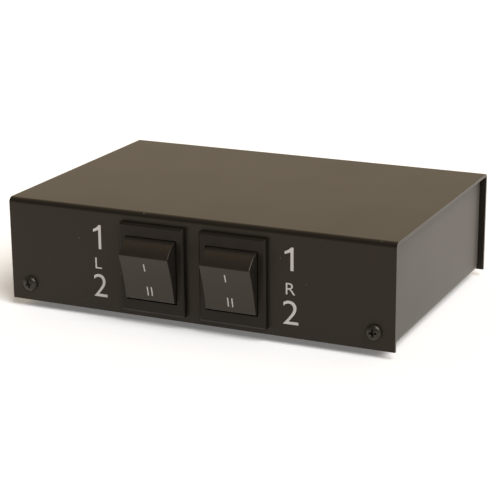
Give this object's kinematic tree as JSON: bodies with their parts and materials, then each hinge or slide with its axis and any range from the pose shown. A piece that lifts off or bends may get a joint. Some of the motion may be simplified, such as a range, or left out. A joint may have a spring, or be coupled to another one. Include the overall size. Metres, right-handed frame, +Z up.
{
  "type": "speaker selector switch",
  "caption": "Low black metal box that switches a pair of loudspeakers between two sources, with a rocker switch for each channel in front and binding posts behind.",
  "frame": {"origin": "on the ground plane under the middle of the whole object, feet on z = 0", "axes": "+X to the right as seen from the front, +Y from the front panel to the rear, +Z up"},
  "size_m": [0.152, 0.1308, 0.042],
  "materials": {
    "case_paint": "satin black paint on steel",
    "black_screw": "black zinc plated",
    "foot_rubber": "black rubber",
    "board_plastic": "black laminate",
    "plated_steel": "zinc plated",
    "plated_brass": "nickel plated",
    "tinned_brass": "tinned",
    "connector_plastic": "natural nylon",
    "red_insulation": "PVC",
    "black_insulation": "PVC",
    "switch_plastic": "black nylon, satin",
    "rocker_plastic": "black, semi-gloss",
    "plunger_plastic": "natural acetal",
    "spring_steel": "spring wire",
    "lever_copper": "bare copper alloy",
    "contact_silver": "silver alloy",
    "red_cap_plastic": "red, moulded",
    "black_cap_plastic": "black, moulded"
  },
  "bodies": {
    "root": {"cover": "case_paint", "base_tray": "case_paint", "case_screws": "black_screw", "rubber_feet": "foot_rubber", "terminal_board": "board_plastic", "board_screws": "black_screw", "board_nuts": "plated_steel", "post_studs": "plated_brass", "post_nuts": "plated_brass", "solder_tags": "tinned_brass", "push_on_connectors": "connector_plastic", "red_wires": "red_insulation", "black_wires": "black_insulation", "left_switch_housing": "switch_plastic", "left_common_blades": "tinned_brass", "left_throw_blades": "tinned_brass", "left_fixed_contacts": "contact_silver", "right_switch_housing": "switch_plastic", "right_common_blades": "tinned_brass", "right_throw_blades": "tinned_brass", "right_fixed_contacts": "contact_silver"},
    "left_rocker": {"left_rocker": "rocker_plastic", "left_plungers": "plunger_plastic", "left_plunger_springs": "spring_steel"},
    "left_plus_lever": {"left_plus_lever": "lever_copper", "left_plus_moving_contacts": "contact_silver"},
    "left_minus_lever": {"left_minus_lever": "lever_copper", "left_minus_moving_contacts": "contact_silver"},
    "right_rocker": {"right_rocker": "rocker_plastic", "right_plungers": "plunger_plastic", "right_plunger_springs": "spring_steel"},
    "right_plus_lever": {"right_plus_lever": "lever_copper", "right_plus_moving_contacts": "contact_silver"},
    "right_minus_lever": {"right_minus_lever": "lever_copper", "right_minus_moving_contacts": "contact_silver"},
    "left_source_1_plus_washer": {"left_source_1_plus_washer": "plated_brass"},
    "left_source_1_plus_cap": {"left_source_1_plus_cap": "red_cap_plastic"},
    "left_source_1_minus_washer": {"left_source_1_minus_washer": "plated_brass"},
    "left_source_1_minus_cap": {"left_source_1_minus_cap": "black_cap_plastic"},
    "left_source_2_plus_washer": {"left_source_2_plus_washer": "plated_brass"},
    "left_source_2_plus_cap": {"left_source_2_plus_cap": "red_cap_plastic"},
    "left_source_2_minus_washer": {"left_source_2_minus_washer": "plated_brass"},
    "left_source_2_minus_cap": {"left_source_2_minus_cap": "black_cap_plastic"},
    "left_speaker_plus_washer": {"left_speaker_plus_washer": "plated_brass"},
    "left_speaker_plus_cap": {"left_speaker_plus_cap": "red_cap_plastic"},
    "left_speaker_minus_washer": {"left_speaker_minus_washer": "plated_brass"},
    "left_speaker_minus_cap": {"left_speaker_minus_cap": "black_cap_plastic"},
    "right_source_1_plus_washer": {"right_source_1_plus_washer": "plated_brass"},
    "right_source_1_plus_cap": {"right_source_1_plus_cap": "red_cap_plastic"},
    "right_source_1_minus_washer": {"right_source_1_minus_washer": "plated_brass"},
    "right_source_1_minus_cap": {"right_source_1_minus_cap": "black_cap_plastic"},
    "right_source_2_plus_washer": {"right_source_2_plus_washer": "plated_brass"},
    "right_source_2_plus_cap": {"right_source_2_plus_cap": "red_cap_plastic"},
    "right_source_2_minus_washer": {"right_source_2_minus_washer": "plated_brass"},
    "right_source_2_minus_cap": {"right_source_2_minus_cap": "black_cap_plastic"},
    "right_speaker_plus_washer": {"right_speaker_plus_washer": "plated_brass"},
    "right_speaker_plus_cap": {"right_speaker_plus_cap": "red_cap_plastic"},
    "right_speaker_minus_washer": {"right_speaker_minus_washer": "plated_brass"},
    "right_speaker_minus_cap": {"right_speaker_minus_cap": "black_cap_plastic"}
  },
  "joints": [
    {"name": "left_rocker_tilt", "type": "hinge", "parent": "root", "child": "left_rocker", "pos_m": [-0.0159, -0.05488, 0.02175], "axis": [-1, 0, 0], "range_deg": [0, 32], "deforming": ["left_plungers", "left_plunger_springs"]},
    {"name": "left_plus_lever_tilt", "type": "hinge", "parent": "root", "child": "left_plus_lever", "pos_m": [-0.0212, -0.04198, 0.02175], "axis": [-1, 0, 0], "range_deg": [-14, 0]},
    {"name": "left_minus_lever_tilt", "type": "hinge", "parent": "root", "child": "left_minus_lever", "pos_m": [-0.0106, -0.04198, 0.02175], "axis": [-1, 0, 0], "range_deg": [-14, 0]},
    {"name": "right_rocker_tilt", "type": "hinge", "parent": "root", "child": "right_rocker", "pos_m": [0.0159, -0.05488, 0.02175], "axis": [-1, 0, 0], "range_deg": [0, 32], "deforming": ["right_plungers", "right_plunger_springs"]},
    {"name": "right_plus_lever_tilt", "type": "hinge", "parent": "root", "child": "right_plus_lever", "pos_m": [0.0212, -0.04198, 0.02175], "axis": [-1, 0, 0], "range_deg": [-14, 0]},
    {"name": "right_minus_lever_tilt", "type": "hinge", "parent": "root", "child": "right_minus_lever", "pos_m": [0.0106, -0.04198, 0.02175], "axis": [-1, 0, 0], "range_deg": [-14, 0]},
    {"name": "left_source_1_plus_travel", "type": "slide", "parent": "root", "child": "left_source_1_plus_washer", "axis": [0, 1, 0], "range_m": [0, 0.006]},
    {"name": "left_source_1_plus_turn", "type": "hinge", "parent": "left_source_1_plus_washer", "child": "left_source_1_plus_cap", "pos_m": [-0.0475, 0.05142, 0.031], "axis": [0, 1, 0], "range_deg": [0, 2160]},
    {"name": "left_source_1_minus_travel", "type": "slide", "parent": "root", "child": "left_source_1_minus_washer", "axis": [0, 1, 0], "range_m": [0, 0.006]},
    {"name": "left_source_1_minus_turn", "type": "hinge", "parent": "left_source_1_minus_washer", "child": "left_source_1_minus_cap", "pos_m": [-0.0475, 0.05142, 0.014], "axis": [0, 1, 0], "range_deg": [0, 2160]},
    {"name": "left_source_2_plus_travel", "type": "slide", "parent": "root", "child": "left_source_2_plus_washer", "axis": [0, 1, 0], "range_m": [0, 0.006]},
    {"name": "left_source_2_plus_turn", "type": "hinge", "parent": "left_source_2_plus_washer", "child": "left_source_2_plus_cap", "pos_m": [-0.0285, 0.05142, 0.031], "axis": [0, 1, 0], "range_deg": [0, 2160]},
    {"name": "left_source_2_minus_travel", "type": "slide", "parent": "root", "child": "left_source_2_minus_washer", "axis": [0, 1, 0], "range_m": [0, 0.006]},
    {"name": "left_source_2_minus_turn", "type": "hinge", "parent": "left_source_2_minus_washer", "child": "left_source_2_minus_cap", "pos_m": [-0.0285, 0.05142, 0.014], "axis": [0, 1, 0], "range_deg": [0, 2160]},
    {"name": "left_speaker_plus_travel", "type": "slide", "parent": "root", "child": "left_speaker_plus_washer", "axis": [0, 1, 0], "range_m": [0, 0.006]},
    {"name": "left_speaker_plus_turn", "type": "hinge", "parent": "left_speaker_plus_washer", "child": "left_speaker_plus_cap", "pos_m": [-0.0095, 0.05142, 0.031], "axis": [0, 1, 0], "range_deg": [0, 2160]},
    {"name": "left_speaker_minus_travel", "type": "slide", "parent": "root", "child": "left_speaker_minus_washer", "axis": [0, 1, 0], "range_m": [0, 0.006]},
    {"name": "left_speaker_minus_turn", "type": "hinge", "parent": "left_speaker_minus_washer", "child": "left_speaker_minus_cap", "pos_m": [-0.0095, 0.05142, 0.014], "axis": [0, 1, 0], "range_deg": [0, 2160]},
    {"name": "right_source_1_plus_travel", "type": "slide", "parent": "root", "child": "right_source_1_plus_washer", "axis": [0, 1, 0], "range_m": [0, 0.006]},
    {"name": "right_source_1_plus_turn", "type": "hinge", "parent": "right_source_1_plus_washer", "child": "right_source_1_plus_cap", "pos_m": [0.0475, 0.05142, 0.031], "axis": [0, 1, 0], "range_deg": [0, 2160]},
    {"name": "right_source_1_minus_travel", "type": "slide", "parent": "root", "child": "right_source_1_minus_washer", "axis": [0, 1, 0], "range_m": [0, 0.006]},
    {"name": "right_source_1_minus_turn", "type": "hinge", "parent": "right_source_1_minus_washer", "child": "right_source_1_minus_cap", "pos_m": [0.0475, 0.05142, 0.014], "axis": [0, 1, 0], "range_deg": [0, 2160]},
    {"name": "right_source_2_plus_travel", "type": "slide", "parent": "root", "child": "right_source_2_plus_washer", "axis": [0, 1, 0], "range_m": [0, 0.006]},
    {"name": "right_source_2_plus_turn", "type": "hinge", "parent": "right_source_2_plus_washer", "child": "right_source_2_plus_cap", "pos_m": [0.0285, 0.05142, 0.031], "axis": [0, 1, 0], "range_deg": [0, 2160]},
    {"name": "right_source_2_minus_travel", "type": "slide", "parent": "root", "child": "right_source_2_minus_washer", "axis": [0, 1, 0], "range_m": [0, 0.006]},
    {"name": "right_source_2_minus_turn", "type": "hinge", "parent": "right_source_2_minus_washer", "child": "right_source_2_minus_cap", "pos_m": [0.0285, 0.05142, 0.014], "axis": [0, 1, 0], "range_deg": [0, 2160]},
    {"name": "right_speaker_plus_travel", "type": "slide", "parent": "root", "child": "right_speaker_plus_washer", "axis": [0, 1, 0], "range_m": [0, 0.006]},
    {"name": "right_speaker_plus_turn", "type": "hinge", "parent": "right_speaker_plus_washer", "child": "right_speaker_plus_cap", "pos_m": [0.0095, 0.05142, 0.031], "axis": [0, 1, 0], "range_deg": [0, 2160]},
    {"name": "right_speaker_minus_travel", "type": "slide", "parent": "root", "child": "right_speaker_minus_washer", "axis": [0, 1, 0], "range_m": [0, 0.006]},
    {"name": "right_speaker_minus_turn", "type": "hinge", "parent": "right_speaker_minus_washer", "child": "right_speaker_minus_cap", "pos_m": [0.0095, 0.05142, 0.014], "axis": [0, 1, 0], "range_deg": [0, 2160]}
  ],
  "couplings": [
    {"joint": "left_plus_lever_tilt", "follows": "left_rocker_tilt", "ratio": -0.4375},
    {"joint": "left_minus_lever_tilt", "follows": "left_rocker_tilt", "ratio": -0.4375},
    {"joint": "right_plus_lever_tilt", "follows": "right_rocker_tilt", "ratio": -0.4375},
    {"joint": "right_minus_lever_tilt", "follows": "right_rocker_tilt", "ratio": -0.4375},
    {"joint": "left_source_1_plus_turn", "follows": "left_source_1_plus_travel", "rad_per_m": 6283.2},
    {"joint": "left_source_1_minus_turn", "follows": "left_source_1_minus_travel", "rad_per_m": 6283.2},
    {"joint": "left_source_2_plus_turn", "follows": "left_source_2_plus_travel", "rad_per_m": 6283.2},
    {"joint": "left_source_2_minus_turn", "follows": "left_source_2_minus_travel", "rad_per_m": 6283.2},
    {"joint": "left_speaker_plus_turn", "follows": "left_speaker_plus_travel", "rad_per_m": 6283.2},
    {"joint": "left_speaker_minus_turn", "follows": "left_speaker_minus_travel", "rad_per_m": 6283.2},
    {"joint": "right_source_1_plus_turn", "follows": "right_source_1_plus_travel", "rad_per_m": 6283.2},
    {"joint": "right_source_1_minus_turn", "follows": "right_source_1_minus_travel", "rad_per_m": 6283.2},
    {"joint": "right_source_2_plus_turn", "follows": "right_source_2_plus_travel", "rad_per_m": 6283.2},
    {"joint": "right_source_2_minus_turn", "follows": "right_source_2_minus_travel", "rad_per_m": 6283.2},
    {"joint": "right_speaker_plus_turn", "follows": "right_speaker_plus_travel", "rad_per_m": 6283.2},
    {"joint": "right_speaker_minus_turn", "follows": "right_speaker_minus_travel", "rad_per_m": 6283.2}
  ]
}
